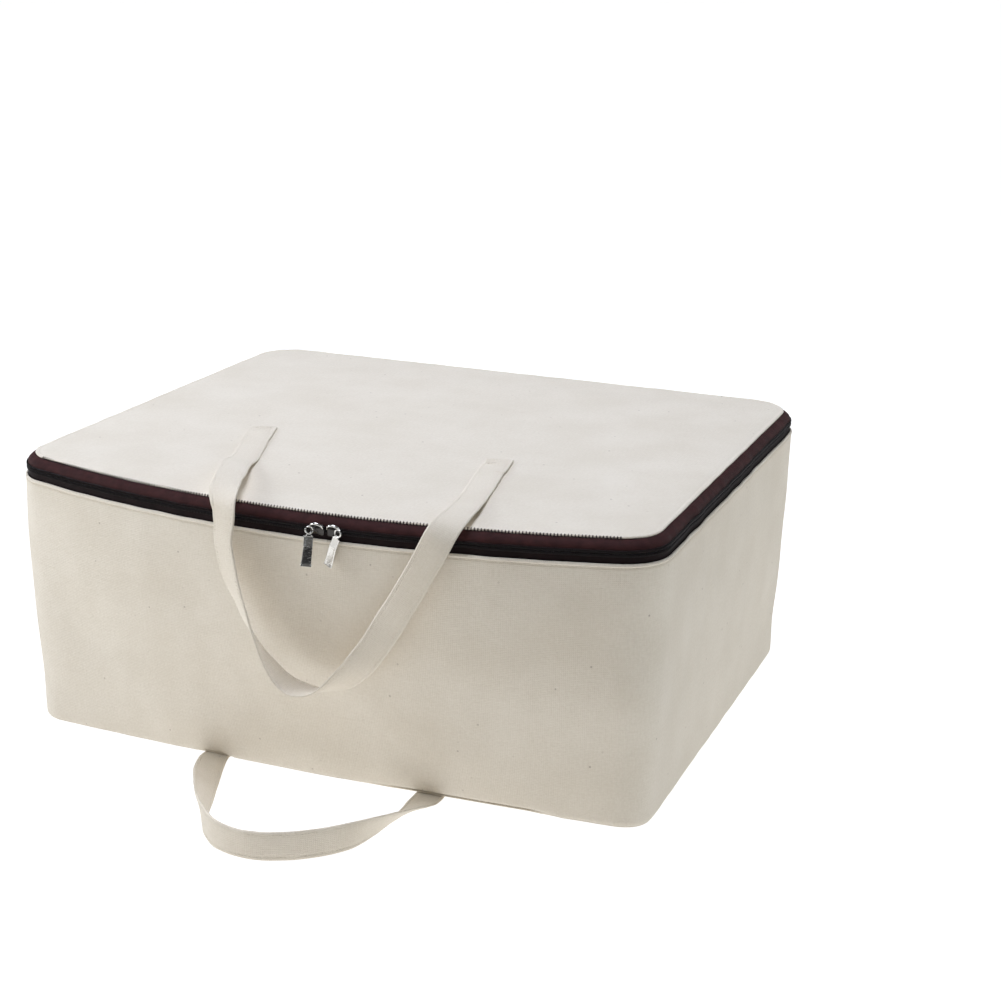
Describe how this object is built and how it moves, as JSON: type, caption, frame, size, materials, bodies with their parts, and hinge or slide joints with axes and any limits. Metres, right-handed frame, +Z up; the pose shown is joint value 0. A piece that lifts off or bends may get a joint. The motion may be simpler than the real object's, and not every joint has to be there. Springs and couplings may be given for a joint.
{
  "type": "under bed box",
  "caption": "Low zipped storage bag in the shape of a box: soft cotton canvas walls, hinged fabric lid, coil zip with metal sliders, and strap handles on lid and foot.",
  "frame": {"origin": "middle of the base where it rests on the floor", "axes": "+Z up, +X to the right as seen from the front, the front with the zip sliders and the handles faces -Y"},
  "size_m": [0.6, 0.6523, 0.2714],
  "materials": {
    "canvas": "plain woven natural cotton canvas with small dark seed flecks",
    "canvas_strap": "folded canvas strap, stitched along both edges",
    "seam_binding": "narrow folded cotton tape, inside seams",
    "zip_tape_brown": "woven polyester tape, reddish brown",
    "zip_tape_dark": "woven polyester tape, nearly black brown",
    "zip_coil": "moulded polyester coil",
    "nickel": "bright nickel plate"
  },
  "bodies": {
    "case": {"bottom_panel": "canvas", "wall_band": "canvas", "back_panel": "canvas", "left_back_seam_binding": "seam_binding", "right_back_seam_binding": "seam_binding", "bottom_seam_binding": "seam_binding", "wall_zip_binding": "seam_binding", "lower_zip_tape": "zip_tape_dark", "lower_zip_coil": "zip_coil", "bottom_handle_left_end": "canvas_strap", "bottom_handle_right_end": "canvas_strap", "bottom_left_patch": "canvas", "bottom_right_patch": "canvas"},
    "lid": {"lid_panel": "canvas", "lid_zip_binding": "seam_binding", "upper_zip_tape": "zip_tape_brown", "upper_zip_coil": "zip_coil", "back_gusset": "canvas", "lid_handle_left_end": "canvas_strap", "lid_handle_right_end": "canvas_strap", "lid_left_patch": "canvas", "lid_right_patch": "canvas"},
    "left_slider": {"left_slider": "nickel", "left_slider_bridge": "nickel"},
    "right_slider": {"right_slider": "nickel", "right_slider_bridge": "nickel"},
    "left_pull": {"left_pull": "nickel"},
    "right_pull": {"right_pull": "nickel"},
    "lid_handle": {"lid_handle": "canvas_strap"},
    "bottom_handle": {"bottom_handle": "canvas_strap"}
  },
  "joints": [
    {"name": "lid_hinge", "type": "hinge", "parent": "case", "child": "lid", "pos_m": [0, 0.245, 0.245], "axis": [-1, 0, 0], "range_deg": [0, 175]},
    {"name": "left_slider_run", "type": "hinge", "parent": "case", "child": "left_slider", "pos_m": [0, 0.57756, 0.245], "axis": [0, 0, -1], "range_deg": [0, 18.5]},
    {"name": "right_slider_run", "type": "hinge", "parent": "case", "child": "right_slider", "pos_m": [0, 0.57756, 0.245], "axis": [0, 0, 1], "range_deg": [0, 14.8]},
    {"name": "left_pull_swing", "type": "hinge", "parent": "left_slider", "child": "left_pull", "pos_m": [0.02108, -0.30107, 0.245], "axis": [-0.9997, -0.024, 0], "range_deg": [0, 170]},
    {"name": "right_pull_swing", "type": "hinge", "parent": "right_slider", "child": "right_pull", "pos_m": [0.03614, -0.30058, 0.245], "axis": [-0.9992, -0.0411, 0], "range_deg": [0, 170]},
    {"name": "lid_handle_swing", "type": "hinge", "parent": "lid", "child": "lid_handle", "pos_m": [-0.1225, -0.124, 0.2586], "axis": [-0.9987, 0.0512, 0], "range_deg": [0, 110]},
    {"name": "bottom_handle_swing", "type": "hinge", "parent": "case", "child": "bottom_handle", "pos_m": [0, -0.2482, 0.0014], "axis": [-1, 0, 0], "range_deg": [0, 42]}
  ]
}
